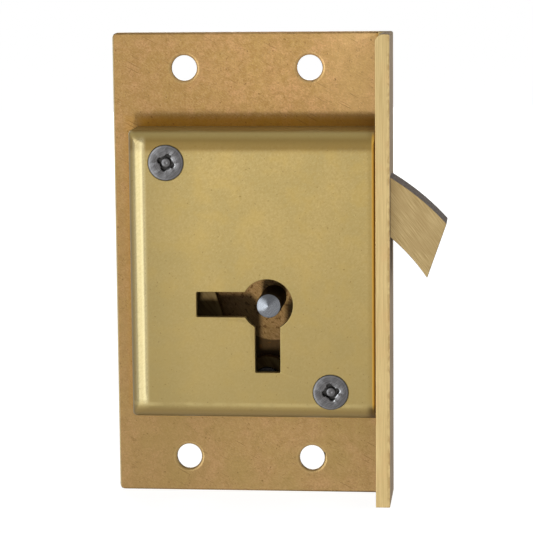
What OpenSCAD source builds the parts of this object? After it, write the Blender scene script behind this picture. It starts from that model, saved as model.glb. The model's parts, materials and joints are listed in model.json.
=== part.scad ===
// Cut cupboard lock with a swinging hook bolt. Millimetres.
// X points to the forend, Z up, and the wood side of the lock looks to -Y.
// The origin is the centre of the four screw holes on the plate's seat face.
// Depth is counted from that face towards the cover.

/* [Plate and forend] */
// height of the plate and the forend
lock_h = 76; // [72:0.5:90]
// distance from the hole centre line to the plate's free edge
plate_left = 22; // [19:0.25:26]
// distance from the hole centre line to the forend's outer face
plate_right = 23.65; // [22:0.05:26]
// thickness of the plate
plate_t = 2.4; // [1.8:0.1:3]
// radius of the plate's free corners
plate_corner_r = 0.9; // [0.3:0.1:2]
// radius of the corners on the forend's inner edge
forend_corner_r = 0.55; // [0.2:0.05:1]
// width of the bevel round the visible edges
edge_bevel = 0.3; // [0.1:0.05:0.5]
// width of the forend, measured through the door
forend_w = 12.5; // [11:0.1:15]
// thickness of the forend
forend_t = 2.3; // [1.8:0.1:3]

/* [Screw holes] */
// hole spacing across the plate
hole_x = 20.5; // [16:0.25:26]
// hole spacing along the plate
hole_z = 64.5; // [60:0.25:66]
// diameter of a screw hole
hole_d = 4.1; // [3.5:0.1:5]
// diameter of the countersink on the room side
sink_d = 7; // [6:0.1:8]

/* [Cover] */
// outer depth of the cover
cover_h = 9.5; // [8:0.1:11]
// thickness of the cover sheet
sheet_t = 1.2; // [0.8:0.05:1.4]
// outer radius of the bends
bend_r = 2.6; // [1.8:0.1:2.8]
// distance from the hole centre line to the left wall
cover_left = 18.4; // [17.5:0.1:19]
// distance from the hole centre line to the upper wall
cover_top = 22.4; // [21.5:0.1:24]
// distance from the hole centre line to the lower wall
cover_bottom = 23.9; // [23:0.1:25]
// radius of the cover's two upright corners
cover_corner_r = 0.6; // [0.3:0.05:1.2]
// gap between the cover's free end and the forend
cover_gap = 0.25; // [0.1:0.05:0.5]
// width of the eased edge along that gap
cover_ease = 0.5; // [0.2:0.05:0.8]

/* [Keyhole and drill pin] */
// distance from the hole centre line to the drill pin, towards the forend
key_x = 4.2; // [3.4:0.1:5]
// distance from the hole centre line down to the drill pin
key_drop = 5.3; // [4.8:0.1:5.8]
// diameter of the drill pin
key_pin_d = 4; // [3:0.1:4.5]
// height of the drill pin's turned point
key_pin_point = 0.65; // [0.3:0.05:1]
// diameter of the round of the keyhole
keyhole_d = 7.85; // [7:0.05:9]
// width of both key slots
slot_w = 3.85; // [3:0.05:4.2]
// reach of the side slot from the pin axis
slot_side = 11.4; // [9:0.1:12]
// reach of the lower slot from the pin axis
slot_down = 10.9; // [9:0.1:11.4]
// reach of the key's bit where it moves the bolt
bit_r = 8.6; // [8.2:0.1:9]

/* [Cover screws] */
// distance from the upper screw to the left wall
screw1_in = 6.3; // [5.8:0.1:6.8]
// distance from the upper screw to the upper wall
screw1_down = 4.7; // [4.6:0.1:5.2]
// distance from the lower screw to the cover's free end
screw2_in = 7; // [6:0.1:8]
// distance from the lower screw to the lower wall
screw2_up = 4.6; // [4.5:0.1:5.2]
// head diameter
screw_head_d = 5.7; // [5:0.1:6]
// thread diameter
screw_d = 3; // [2.5:0.1:3.2]
// how far the head stands above the cover
screw_proud = 0.12; // [0.05:0.01:0.3]
// diameter of a pillar
pillar_d = 4.9; // [4.4:0.1:5.2]

/* [Hook bolt] */
// how far the hook stands out of the forend
hook_reach = 8.95; // [7:0.05:9.5]
// width of the hook between its two curved sides
hook_w = 7.83; // [6.5:0.01:8]
// angle by which the hook's point lies back from its nose
hook_slant = 8; // [5:0.5:10]
// thickness of the bolt's tail
tail_t = 2.2; // [1.6:0.1:2.4]
// diameter of the pivot post
pivot_d = 4; // [3:0.1:4.4]
// width of the arm that passes the key
arm_w = 4.4; // [3:0.1:4.6]
// diameter of the stump
stump_d = 2.4; // [1.8:0.1:2.6]

/* [Levers] */
// distance from the lever post to the left wall
lever_in = 5.6; // [5.3:0.1:5.9]
// distance from the lever post to the upper wall
lever_down = 12.9; // [12.6:0.1:13.2]
// gap between levers
lever_gap = 0.1; // [0.08:0.01:0.15]
// diameter of the lever post
lever_post_d = 3; // [2.4:0.1:3.2]
// angle that a lever drops from its gate
lever_drop = 6; // [4:0.5:6]
// angle that a lever can be lifted past its gate
lever_over = 4; // [2:0.5:4]
// belly radius of each lever about the drill pin
bellies = [8.6, 9.4, 7.9, 9]; // [7.6:0.1:9.8]
// thickness of a leaf spring
leaf_t = 0.3; // [0.2:0.05:0.4]
// diameter of the stop pin and the spring pin
small_post_d = 2.4; // [1.6:0.1:2.4]

/* [Hidden] */
$fn = 96;

// clearances: a running fit, a loose fit, and the stump in its gate
run = 0.05;
slip = 0.2;
stump_slip = 0.25;
// how far a cutting form reaches past the face that it opens
past_cut = 1;

// case
forend_in = plate_right - forend_t;
cover_right = forend_in - cover_gap;
room = cover_h - sheet_t;
bend_in = bend_r - sheet_t;
inner_top = cover_top - sheet_t;
inner_bottom = -cover_bottom + sheet_t;
key_z = -key_drop;
// step in radius where a riveted post goes into the plate
spigot = 0.4;
screw1 = [-cover_left + screw1_in, cover_top - screw1_down];
screw2 = [cover_right - screw2_in, -cover_bottom + screw2_up];
screw_sink = (screw_head_d - screw_d) / 2;
// depth at which the screws end inside the pillars
screw_end = 2.8;
rivet_r = screw_d / 2 + 0.3;
pillar_edge = 0.5;
recess_depth = 1;

// bolt: the pivot stands under the key, and the hook's sides are arcs about it
eye_r = 3.8;
pivot_off = 1;
wall_gap = 0.3;
pivot_x = key_x - pivot_off;
pivot_z = inner_bottom + eye_r + wall_gap;
hook_r2 = inner_top - slip - run - pivot_z;
hook_r1 = hook_r2 - hook_w;
hook_nose = acos((plate_right + hook_reach - pivot_x) / hook_r2);
hook_point = hook_nose - hook_slant;
// how far the hook goes on behind the forend, and the angle that it is drawn behind the outer face
hook_inside = 3.3;
hook_behind = 1;
hook_root = acos((forend_in - hook_inside - pivot_x) / hook_r1);
bolt_swing = acos((plate_right - pivot_x) / hook_r2) - hook_nose + hook_behind;
tail_d1 = slip + tail_t;
hook_d1 = room - slip - run;
pk_x = key_x - pivot_x;
pk_z = key_z - pivot_z;
pk = norm([pk_x, pk_z]);
pk_a = atan2(pk_z, pk_x);
// the talon: the notch in which the key's bit works
talon_h = 2.3;
talon_play = 3.2;
tail_r1 = pk + bit_r - talon_h;
talon_r = pk + bit_r + 2 * slip;
talon_half = acos((tail_r1 * tail_r1 + pk * pk - bit_r * bit_r) / (2 * tail_r1 * pk)) + talon_play;
talon_a0 = pk_a - talon_half;
talon_a1 = pk_a + talon_half - bolt_swing;
// the band above it, which carries the stump
stump_land = 3.5;
stump_wall = 1.4;
stump_a = pk_a;
stump_r = talon_r + stump_d / 2 + stump_land;
tail_r2 = stump_r + stump_d / 2 + stump_wall;
tail_inside = 2;
tail_a0 = acos((forend_in - tail_inside - pivot_x) / tail_r2);
wide_a = stump_a + 14;
// the web between the band and the hook
web_a = 16;
web_r2 = hook_r1 + 4.7;
// the arm that goes round the key to the pivot
arm_tilt = 17.7;
arm_side = pk_x * cos(arm_tilt) + pk_z * sin(arm_tilt) - bit_r - slip / 2;
arm_out = arm_side - arm_w;
arm_top = tail_r1 + arm_w / 2;
arm_foot = 3.2;
arm_heel = 1.2;
arm_cut = 1.5;
// the narrow end of the band laps over the arm
arm_lap = 6;
narrow_r2 = tail_r1 + arm_w;
narrow_a = arm_tilt + 90 + asin(-arm_side / tail_r1) + arm_lap;
function about(c, r, a) = [c[0] + r * cos(a), c[1] + r * sin(a)];
pivot = [pivot_x, pivot_z];
key = [key_x, key_z];
stump = about(pivot, stump_r, stump_a);
stump_in = about(pivot, stump_r, stump_a + bolt_swing);

// levers, drawn with their gates level with the stump
lever_p = [-cover_left + lever_in, cover_top - lever_down];
lever_d0 = tail_d1 + slip;
lever_t = (room - slip - lever_d0 - 3 * lever_gap) / 4;
lever_eye_r = 2.9;
gate_r = stump_d / 2 + stump_slip;
to_stump = stump - lever_p;
to_stump_in = stump_in - lever_p;
gate_end = 2.5;
gate_top = 1.7;
nose_cut = 2.8;
belly_foot = 7.1;
belly_w = 10;
belly_run = 5;
throat = 4.5;
lever_end = stump[0] + gate_r + gate_end;
lever_top = stump[1] + norm(to_stump) * sin(lever_drop) + gate_r + gate_top;
lever_low = key_z + belly_foot;
// the stop pin beside the lever's finger
small_r = small_post_d / 2;
stop_off = [8.8, 7.8];
stop_p = lever_p + stop_off;
finger_w = 2;
finger_up = stop_off[1] + small_r + run;
finger_x = (stop_off[0] - small_r - slip - stop_off[1] * sin(lever_drop)) / cos(lever_drop);
// the leaf spring: an arc that rises from a slit in the lever to the spring pin
pin_off = 1.4;
pin_wall = 0.6;
leaf_rise = 3.45;
leaf_root = 2.05;
pin_p = [key_x + pin_off, inner_top - small_r - pin_wall];
leaf_c = [pin_p[0], lever_top - leaf_rise];
leaf_r = pin_p[1] - small_r - run - leaf_c[1];
leaf_a0 = 80;
leaf_a1 = 180 - asin(leaf_root / leaf_r);
leaf_w = lever_t - 2 * slip;

// colours
brass = [0.72, 0.58, 0.36];
cover_brass = [0.70, 0.60, 0.37];
bolt_brass = [0.64, 0.54, 0.37];
steel = [0.55, 0.56, 0.58];
spring_steel = [0.45, 0.47, 0.5];

// A flat outline in X and Z, made solid from depth d towards the cover.
module slab(d, t) {
  translate([0, -d, 0]) rotate([90, 0, 0]) linear_extrude(t) children();
}

// A round bar or cone along the depth, from d0 to d1.
module bar(p, d0, d1, r1, r2) {
  translate([p[0], -d0, p[1]]) rotate([90, 0, 0]) cylinder(h = d1 - d0, r1 = r1, r2 = r2);
}

// Part of a ring about c, from angle a0 to a1 (less than 150 degrees).
module arc_band(c, r1, r2, a0, a1) {
  far = 3 * r2;
  translate(c) intersection() {
    difference() {
      circle(r2);
      circle(r1);
    }
    polygon([[0, 0], for (a = [a0, (a0 + a1) / 2, a1]) far * [cos(a), sin(a)]]);
  }
}

// The path of a pin of radius r that turns about c.
module arc_slot(c, rad, r, a0, a1) {
  arc_band(c, rad - r, rad + r, a0, a1);
  for (a = [a0, a1]) translate(about(c, rad, a)) circle(r);
}

// A rectangle whose corners on the low-X side are rounded.
module rounded_left(x0, x1, h, r) {
  translate([x0 + r, -h / 2]) square([x1 - x0 - r, h]);
  translate([x0, -h / 2 + r]) square([x1 - x0, h - 2 * r]);
  for (s = [-1, 1]) translate([x0 + r, s * (h / 2 - r)]) circle(r);
}

// Section of a bar w wide and h deep, bevelled at its two far corners.
module bevel_section(w, h, b) {
  polygon([[0, 0], [w, 0], [w, h - b], [w - b, h], [b, h], [0, h - b]]);
}

module back_plate() {
  w = plate_left + forend_in;
  color(brass) difference() {
    intersection() {
      slab(-plate_t, plate_t) rounded_left(-plate_left, forend_in, lock_h, plate_corner_r);
      // bevel along the free edge
      translate([-plate_left, plate_t, -lock_h / 2]) mirror([0, 1, 0]) linear_extrude(lock_h)
        bevel_section(2 * w, plate_t, edge_bevel);
      // bevels along both ends
      translate([-plate_left, plate_t, -lock_h / 2]) rotate([0, 90, 0]) linear_extrude(w)
        mirror([1, 0]) mirror([0, 1]) bevel_section(lock_h, plate_t, edge_bevel);
    }
    for (sx = [-1, 1], sz = [-1, 1]) {
      p = [sx * hole_x / 2, sz * hole_z / 2];
      bar(p, -plate_t - past_cut, past_cut, hole_d / 2, hole_d / 2);
      bar(p, -plate_t, -plate_t + (sink_d - hole_d) / 2, sink_d / 2, hole_d / 2);
    }
    bar(key, -plate_t - past_cut, past_cut, key_pin_d / 2 - spigot, key_pin_d / 2 - spigot);
    bar(pivot, -plate_t - past_cut, past_cut, pivot_d / 2 - spigot, pivot_d / 2 - spigot);
    bar(lever_p, -plate_t - past_cut, past_cut, lever_post_d / 2, lever_post_d / 2);
    for (p = [stop_p, pin_p]) bar(p, -plate_t - past_cut, past_cut, small_r, small_r);
    for (p = [screw1, screw2]) bar(p, -plate_t - past_cut, past_cut, rivet_r, rivet_r);
  }
}

module forend() {
  color(brass) difference() {
    intersection() {
      union() {
        slab(-plate_t, plate_t) translate([forend_in, -lock_h / 2]) square([forend_t, lock_h]);
        slab(0, forend_w - plate_t) rounded_left(forend_in, plate_right, lock_h, forend_corner_r);
      }
      translate([forend_in, plate_t, -lock_h / 2]) mirror([0, 1, 0]) linear_extrude(lock_h)
        bevel_section(forend_t, forend_w, edge_bevel);
    }
    slab(run, hook_d1 + run)
      arc_band(pivot, hook_r1 - slip, hook_r2 + slip, hook_point, 90);
  }
}

// The cover as a solid: two sections crossed, so that the bends meet in mitres.
module cover_block(inset, r, h) {
  past = inset > 0 ? past_cut : 0;
  x0 = -cover_left + inset;
  x1 = cover_right + past;
  z0 = -cover_bottom + inset;
  z1 = cover_top - inset;
  intersection() {
    translate([0, 0, z0]) mirror([0, 1, 0]) linear_extrude(z1 - z0) {
      translate([x0, -past]) square([x1 - x0, h - r + past]);
      translate([x0 + r, -past]) square([x1 - x0 - r, h + past]);
      translate([x0 + r, h - r]) circle(r);
    }
    translate([x0, 0, 0]) rotate([90, 0, 90]) mirror([1, 0]) linear_extrude(x1 - x0) {
      translate([-past, z0]) square([h - r + past, z1 - z0]);
      translate([-past, z0 + r]) square([h + past, z1 - z0 - 2 * r]);
      for (z = [z0 + r, z1 - r]) translate([h - r, z]) circle(r);
    }
    slab(-past, h + past) translate([0, (z0 + z1) / 2]) rounded_left(x0, x1, z1 - z0, cover_corner_r);
  }
}

module keyhole() {
  translate(key) {
    circle(keyhole_d / 2);
    translate([-slot_side, -slot_w / 2]) square([slot_side, slot_w]);
    translate([-slot_w / 2, -slot_down]) square([slot_w, slot_down]);
  }
}

module cover() {
  color(cover_brass) difference() {
    cover_block(0, bend_r, cover_h);
    cover_block(sheet_t, bend_in, room);
    slab(room - past_cut, sheet_t + 2 * past_cut) keyhole();
    for (p = [screw1, screw2]) {
      bar(p, room - past_cut, cover_h + past_cut, screw_d / 2, screw_d / 2);
      bar(p, cover_h - screw_sink, cover_h, screw_d / 2, screw_head_d / 2);
      bar(p, cover_h, cover_h + past_cut, screw_head_d / 2, screw_head_d / 2);
    }
    // eased edge along the forend
    translate([cover_right, -cover_h, 0]) rotate(45)
      cube([cover_ease * sqrt(2), cover_ease * sqrt(2), 3 * cover_bottom], center = true);
  }
}

// Four-lobed recess round a standing centre pin, in proportion to the head.
module recess(head_r, pin_r) {
  lobe_at = 0.36 * head_r;
  lobe_r = 0.14 * head_r;
  difference() {
    union() {
      circle(lobe_at);
      for (i = [0:3]) rotate(90 * i) translate([lobe_at, 0]) circle(lobe_r);
    }
    circle(pin_r);
  }
}

module cover_screw(p, turn) {
  top = cover_h + screw_proud;
  head_r = screw_head_d / 2;
  pin_r = 0.26 * head_r;
  difference() {
    union() {
      bar(p, cover_h, top, head_r, head_r - screw_proud / 2);
      bar(p, cover_h - screw_sink, cover_h, screw_d / 2, head_r);
      bar(p, screw_end, cover_h - screw_sink, screw_d / 2, screw_d / 2);
    }
    slab(top - recess_depth, recess_depth + past_cut) translate(p) rotate(turn) recess(head_r, pin_r);
    // the pin stands a little below the head
    slab(top - screw_proud, recess_depth) translate(p) circle(pin_r);
  }
}

module cover_screws() {
  color(steel) {
    cover_screw(screw1, 70);
    cover_screw(screw2, 12);
  }
}

module drill_pin() {
  r = key_pin_d / 2;
  color(steel) {
    bar(key, -plate_t, 0, r - spigot, r - spigot);
    bar(key, 0, cover_h + slip / 2, r, r);
    bar(key, cover_h + slip / 2, cover_h + slip / 2 + key_pin_point, r, run);
  }
}

module bolt_post() {
  r = pivot_d / 2;
  color(steel) {
    bar(pivot, -plate_t, 0, r - spigot, r - spigot);
    bar(pivot, 0, tail_d1 + 2 * slip, r, r);
  }
}

// The hook: a ring part about the pivot, cut by its slanting nose.
module hook_outline() {
  past = 1.2 * hook_r2;
  translate(pivot) intersection() {
    difference() {
      circle(hook_r2);
      circle(hook_r1);
    }
    polygon([[0, 0], hook_r1 * [cos(hook_point), sin(hook_point)], hook_r2 * [cos(hook_nose), sin(hook_nose)],
      past * [cos(hook_nose), sin(hook_nose)], past * [cos(hook_root), sin(hook_root)]]);
  }
}

// The thin tail: a band over the key with its talon, an arm past the key, and the eye on the pivot.
module tail_outline() {
  difference() {
    union() {
      arc_band(pivot, tail_r1, tail_r2, tail_a0, wide_a);
      arc_band(pivot, tail_r1, narrow_r2, wide_a - 1, narrow_a);
      arc_band(pivot, tail_r2 - 1, web_r2, hook_root - 0.5, hook_root + web_a);
      translate(pivot) {
        circle(eye_r);
        rotate(arm_tilt) polygon([[0, slip - eye_r], [arm_side, -arm_heel], [arm_out, arm_heel],
          [arm_out, arm_top - arm_cut], [arm_out + arm_cut, arm_top], [arm_side, arm_top],
          [arm_side, arm_foot], [0, arm_foot]]);
      }
    }
    arc_band(pivot, tail_r1 - 1, talon_r, talon_a0, talon_a1);
    translate(pivot) circle(pivot_d / 2 + run);
    translate(stump) circle(stump_d / 2);
  }
}

module hook_bolt() {
  color(bolt_brass) {
    slab(slip, hook_d1 - slip) hook_outline();
    slab(slip, tail_t) tail_outline();
  }
}

module bolt_stump() {
  color(steel) bar(stump, slip, hook_d1, stump_d / 2, stump_d / 2);
}

// One lever: the finger meets the stop, two pockets and a gate take the stump, the key lifts the belly.
module lever_blank() {
  up = lever_top - lever_p[1];
  end = lever_end - lever_p[0];
  low = lever_low - lever_p[1];
  finger0 = finger_x - finger_w;
  belly_x = end - belly_w;
  side = lever_eye_r * [0.17, -0.76];
  translate(lever_p) polygon([-side, [finger0, up], [finger0, finger_up], [finger_x, finger_up],
    [finger_x, up], [end - nose_cut, up], [end, up - nose_cut], [end, low], [belly_x, low],
    [belly_x - belly_run, -throat], side]);
}

module lever_cuts(belly) {
  a0 = atan2(to_stump[1], to_stump[0]);
  a1 = atan2(to_stump_in[1], to_stump_in[0]);
  translate(key) circle(belly);
  translate(lever_p) circle(lever_post_d / 2 + run);
  arc_slot(pivot, stump_r, gate_r, stump_a, stump_a + bolt_swing);
  arc_slot(lever_p, norm(to_stump), gate_r, a0 - lever_over, a0 + lever_drop);
  arc_slot(lever_p, norm(to_stump_in), gate_r, a1 - lever_over, a1 + lever_drop);
  leaf_outline();
}

module leaf_outline() {
  arc_band(leaf_c, leaf_r - leaf_t, leaf_r, leaf_a0, leaf_a1);
}

function lever_depth(i) = lever_d0 + i * (lever_t + lever_gap);

module lever(i) {
  d = lever_depth(i);
  color(brass) difference() {
    union() {
      bar(lever_p, d, d + lever_t, lever_eye_r, lever_eye_r);
      slab(d, lever_t) lever_blank();
    }
    slab(d - past_cut, lever_t + 2 * past_cut) lever_cuts(bellies[i]);
  }
}

module lever_spring(i) {
  color(spring_steel) slab(lever_depth(i) + (lever_t - leaf_w) / 2, leaf_w) leaf_outline();
}

module lever_post() {
  r = lever_post_d / 2;
  collar_r = r + 0.7;
  color(steel) {
    bar(lever_p, -plate_t, room, r, r);
    bar(lever_p, 0, lever_d0 - run, collar_r, collar_r);
  }
}

module lever_stop() {
  color(steel) bar(stop_p, -plate_t, room - slip, small_r, small_r);
}

module spring_post() {
  color(steel) bar(pin_p, -plate_t, room - 2 * slip, small_r, small_r);
}

module pillar(p) {
  color(steel) difference() {
    union() {
      bar(p, -plate_t, 0, rivet_r, rivet_r);
      bar(p, 0, room - pillar_edge, pillar_d / 2, pillar_d / 2);
      bar(p, room - pillar_edge, room, pillar_d / 2, pillar_d / 2 - pillar_edge);
    }
    bar(p, screw_end, room + past_cut, screw_d / 2, screw_d / 2);
    bar(p, cover_h - screw_sink, cover_h, screw_d / 2, screw_head_d / 2);
  }
}

back_plate();
forend();
cover();
cover_screws();
drill_pin();
hook_bolt();
bolt_post();
bolt_stump();
lever(0);  // lever_1
lever(1);  // lever_2
lever(2);  // lever_3
lever(3);  // lever_4
lever_spring(0);  // lever_spring_1
lever_spring(1);  // lever_spring_2
lever_spring(2);  // lever_spring_3
lever_spring(3);  // lever_spring_4
lever_post();
lever_stop();
spring_post();
pillar(screw1);  // pillar_upper
pillar(screw2);  // pillar_lower
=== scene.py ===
# %% [markdown]
# # A cut cupboard lock with a swinging hook
#
# The lock is a brass plate with a forend along one edge. A bent brass cover closes the works,
# an L-shaped keyhole shows the drill pin, and a hook swings out through the forend.
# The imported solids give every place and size. This lesson dresses them: it builds every metal
# finish from nodes, and then gives each visible piece soft edges in mesh code.

# %% Load the frame
import json
import math

import bmesh
import bpy
from mathutils import Matrix, Vector
from mathutils.geometry import delaunay_2d_cdt

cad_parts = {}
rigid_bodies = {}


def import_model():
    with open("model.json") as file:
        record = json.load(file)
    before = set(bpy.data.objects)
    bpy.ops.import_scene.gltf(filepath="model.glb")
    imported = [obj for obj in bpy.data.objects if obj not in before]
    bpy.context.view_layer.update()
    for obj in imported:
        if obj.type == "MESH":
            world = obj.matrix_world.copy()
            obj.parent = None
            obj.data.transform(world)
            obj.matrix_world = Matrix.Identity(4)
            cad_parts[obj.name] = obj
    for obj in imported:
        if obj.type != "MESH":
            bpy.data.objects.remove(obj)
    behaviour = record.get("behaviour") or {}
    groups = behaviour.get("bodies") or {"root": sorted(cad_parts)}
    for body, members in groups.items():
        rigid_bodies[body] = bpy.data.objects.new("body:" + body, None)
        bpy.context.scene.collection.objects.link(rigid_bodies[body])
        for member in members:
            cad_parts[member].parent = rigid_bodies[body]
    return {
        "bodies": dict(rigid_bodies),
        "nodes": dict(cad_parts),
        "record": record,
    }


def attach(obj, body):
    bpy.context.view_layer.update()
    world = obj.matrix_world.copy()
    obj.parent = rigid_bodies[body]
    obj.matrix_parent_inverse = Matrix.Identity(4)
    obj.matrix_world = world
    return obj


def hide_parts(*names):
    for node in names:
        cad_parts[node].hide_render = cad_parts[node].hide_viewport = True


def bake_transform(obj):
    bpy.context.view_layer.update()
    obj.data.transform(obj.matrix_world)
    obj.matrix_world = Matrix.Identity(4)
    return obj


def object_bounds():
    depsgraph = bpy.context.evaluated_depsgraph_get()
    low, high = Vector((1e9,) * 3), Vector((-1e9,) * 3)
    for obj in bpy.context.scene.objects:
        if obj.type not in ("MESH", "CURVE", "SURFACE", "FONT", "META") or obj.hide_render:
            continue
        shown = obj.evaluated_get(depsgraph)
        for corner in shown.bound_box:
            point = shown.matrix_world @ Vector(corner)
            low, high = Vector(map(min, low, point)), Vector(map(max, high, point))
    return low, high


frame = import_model()
nodes = frame["nodes"]
cad_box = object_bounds()
MM = 0.001

# %% [markdown]
# ## The camera
#
# The photograph was taken from a little above and to the right, about 37 cm away.
# A focal length in pixels becomes a lens for a 36 mm sensor by the image's width.
# A camera could be aimed at a point by a constraint, but turning the three angles into a matrix
# by hand keeps the roll, and the order of the turns is plain to see.

# %% Camera
IMAGE_PX = 533
FOCAL_PX = 2314.24
SENSOR_MM = 36
NEAREST = 0.01
eye = Vector((41.25, -373.77, 53.06)) * MM
yaw, pitch, roll = -0.1021, -0.1410, -0.0092

ahead = Vector((math.sin(yaw) * math.cos(pitch), math.cos(yaw) * math.cos(pitch), math.sin(pitch)))
level = Vector((math.cos(yaw), -math.sin(yaw), 0))
above = level.cross(ahead)
right = math.cos(roll) * level + math.sin(roll) * above
top = math.cos(roll) * above - math.sin(roll) * level

lens = bpy.data.cameras.new("photo_camera")
lens.sensor_width = SENSOR_MM
lens.lens = SENSOR_MM * FOCAL_PX / IMAGE_PX
lens.clip_start = NEAREST
camera = bpy.data.objects.new("photo_camera", lens)
bpy.context.scene.collection.objects.link(camera)
camera.matrix_world = Matrix.Translation(eye) @ Matrix((right, top, -ahead)).transposed().to_4x4()
bpy.context.scene.camera = camera
print("lens", round(lens.lens, 1), "mm")

# %% [markdown]
# ## Shader maths
#
# A finish is mostly arithmetic on noise and on position. Wrapping a socket in a small class lets
# that arithmetic be written as Python, and each operator adds one Math node behind the scenes.
# Every other node comes from one method, which sets the node up and then fills its sockets.


# %% Socket wrapper
class Val:
    """One output socket. Maths on it adds Math nodes."""

    def __init__(self, tree, socket=None):
        self.tree, self.socket = tree, socket

    def node(self, kind, settings=None, values=None, out=0):
        """Adds a node: first its settings, then the values or links of its sockets."""
        made = self.tree.nodes.new(kind)
        for key, value in (settings or {}).items():
            setattr(made, key, value)
        for key, value in (values or {}).items():
            if isinstance(value, Val):
                self.tree.links.new(value.socket, made.inputs[key])
            else:
                made.inputs[key].default_value = value
        return Val(self.tree, made.outputs[out] if made.outputs else None)

    def math(self, operation, a, b=0.0):
        return self.node("ShaderNodeMath", {"operation": operation}, {0: a, 1: b})

    def __add__(self, other):
        return self.math("ADD", self, other)

    __radd__ = __add__

    def __sub__(self, other):
        return self.math("SUBTRACT", self, other)

    def __rsub__(self, other):
        return self.math("SUBTRACT", other, self)

    def __neg__(self):
        return 0.0 - self

    def __mul__(self, other):
        return self.math("MULTIPLY", self, other)

    __rmul__ = __mul__

    def __truediv__(self, other):
        return self.math("DIVIDE", self, other)

    def __pow__(self, other):
        return self.math("POWER", self, other)

    def __abs__(self):
        return self.math("ABSOLUTE", self)

    def larger(self, other):
        return self.math("MAXIMUM", self, other)

    def smooth(self, low, high):
        """0 below low, 1 above high, and a soft step between."""
        return self.node("ShaderNodeMapRange", {"interpolation_type": "SMOOTHSTEP"},
                         {0: self, 1: low, 2: high, 3: 0.0, 4: 1.0})

    def fall(self, low, high):
        """1 below low, 0 above high, and a soft step between."""
        return 1 - self.smooth(low, high)

    def band(self, start, full, fade, end):
        """1 between full and fade, 0 before start and after end, with soft steps."""
        return self.smooth(start, full) * self.fall(fade, end)

    def noise(self, scale, detail=3.0, rough=0.5):
        """Noise over this vector."""
        return self.node("ShaderNodeTexNoise", None,
                         {"Vector": self, "Scale": scale, "Detail": detail, "Roughness": rough})

    def stretch(self, x, y, z, turn=(0.0, 0.0, 0.0)):
        """This vector turned, then scaled on each axis."""
        return self.node("ShaderNodeMapping", {"vector_type": "TEXTURE"},
                         {"Vector": self, "Rotation": turn, "Scale": (1 / x, 1 / y, 1 / z)})

    def split(self):
        made = self.node("ShaderNodeSeparateXYZ", None, {0: self}).socket.node
        return [Val(self.tree, made.outputs[i]) for i in range(3)]

    def blend(self, a, b):
        """Colour a where this is 0 and b where it is 1; 6, 7 and 2 are Mix's colour sockets."""
        return self.node("ShaderNodeMix", {"data_type": "RGBA"}, {0: self, 6: a, 7: b}, out=2)


def srgb(r, g, b):
    """A colour as an image shows it, 0 to 255, as the linear value that a shader takes."""
    def linear(c):
        c /= 255
        return c / 12.92 if c <= 0.04045 else ((c + 0.055) / 1.055) ** 2.4
    return (linear(r), linear(g), linear(b), 1.0)


print("socket wrapper ready")

# %% [markdown]
# ## One recipe for all the metals
#
# Every finish needs the same frame: a start vector in millimetres, a shader, and a bump.
# Each metal below then only says how its colour, roughness and relief change over the surface.
# Colour is laid on in thin coats, as a painter glazes: each coat goes over the ones before it.
# A metal mirrors more at a low angle, and the rim colour keeps old brass from going white there.


# %% Metal recipe
CLEAR_RIM, BRASS_RIM, DULL_RIM = (1, 1, 1, 1), (0.55, 0.45, 0.3, 1), (0.2, 0.18, 0.16, 1)


def new_metal(name):
    """A material with an empty tree, its shader node, and the position in millimetres."""
    made = bpy.data.materials.new(name)
    made.use_nodes = True
    tree = made.node_tree
    tree.nodes.clear()
    start = Val(tree)
    shader = start.node("ShaderNodeBsdfPrincipled").socket.node
    start.node("ShaderNodeOutputMaterial", None, {"Surface": Val(tree, shader.outputs[0])})
    place = start.node("ShaderNodeTexCoord", out="Object")
    place_mm = place.node("ShaderNodeVectorMath", {"operation": "SCALE"}, {0: place, "Scale": 1 / MM})
    return made, shader, place_mm


def facing(start):
    """How far the surface faces right, back and up, each from -1 to 1."""
    return start.node("ShaderNodeTexCoord", out="Normal").split()


def distance(x, z, cx, cz):
    """How far a point lies from an axis that runs along the depth."""
    return ((x - cx) ** 2.0 + (z - cz) ** 2.0) ** 0.5


def paint(colour, tones, **coats):
    """Lays coats over a colour: each has the name of its tone and an amount from 0 to 1."""
    for name, amount in coats.items():
        colour = amount.blend(colour, tones[name])
    return colour


def finish_metal(shader, colour, roughness, metallic, relief, relief_mm, rim=CLEAR_RIM, gloss=0.3):
    """Fills the shader's sockets; relief is a height from 0 to 1 that stands relief_mm high."""
    tree = shader.id_data
    shader.inputs["Specular Tint"].default_value = rim
    shader.inputs["Specular IOR Level"].default_value = gloss
    for key, value in (("Base Color", colour), ("Roughness", roughness), ("Metallic", metallic)):
        if isinstance(value, Val):
            tree.links.new(value.socket, shader.inputs[key])
        else:
            shader.inputs[key].default_value = value
    bump = relief.node("ShaderNodeBump", None,
                       {"Strength": 1.0, "Distance": relief_mm * MM, "Height": relief})
    tree.links.new(bump.socket, shader.inputs["Normal"])


print("metal recipe ready")
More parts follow.
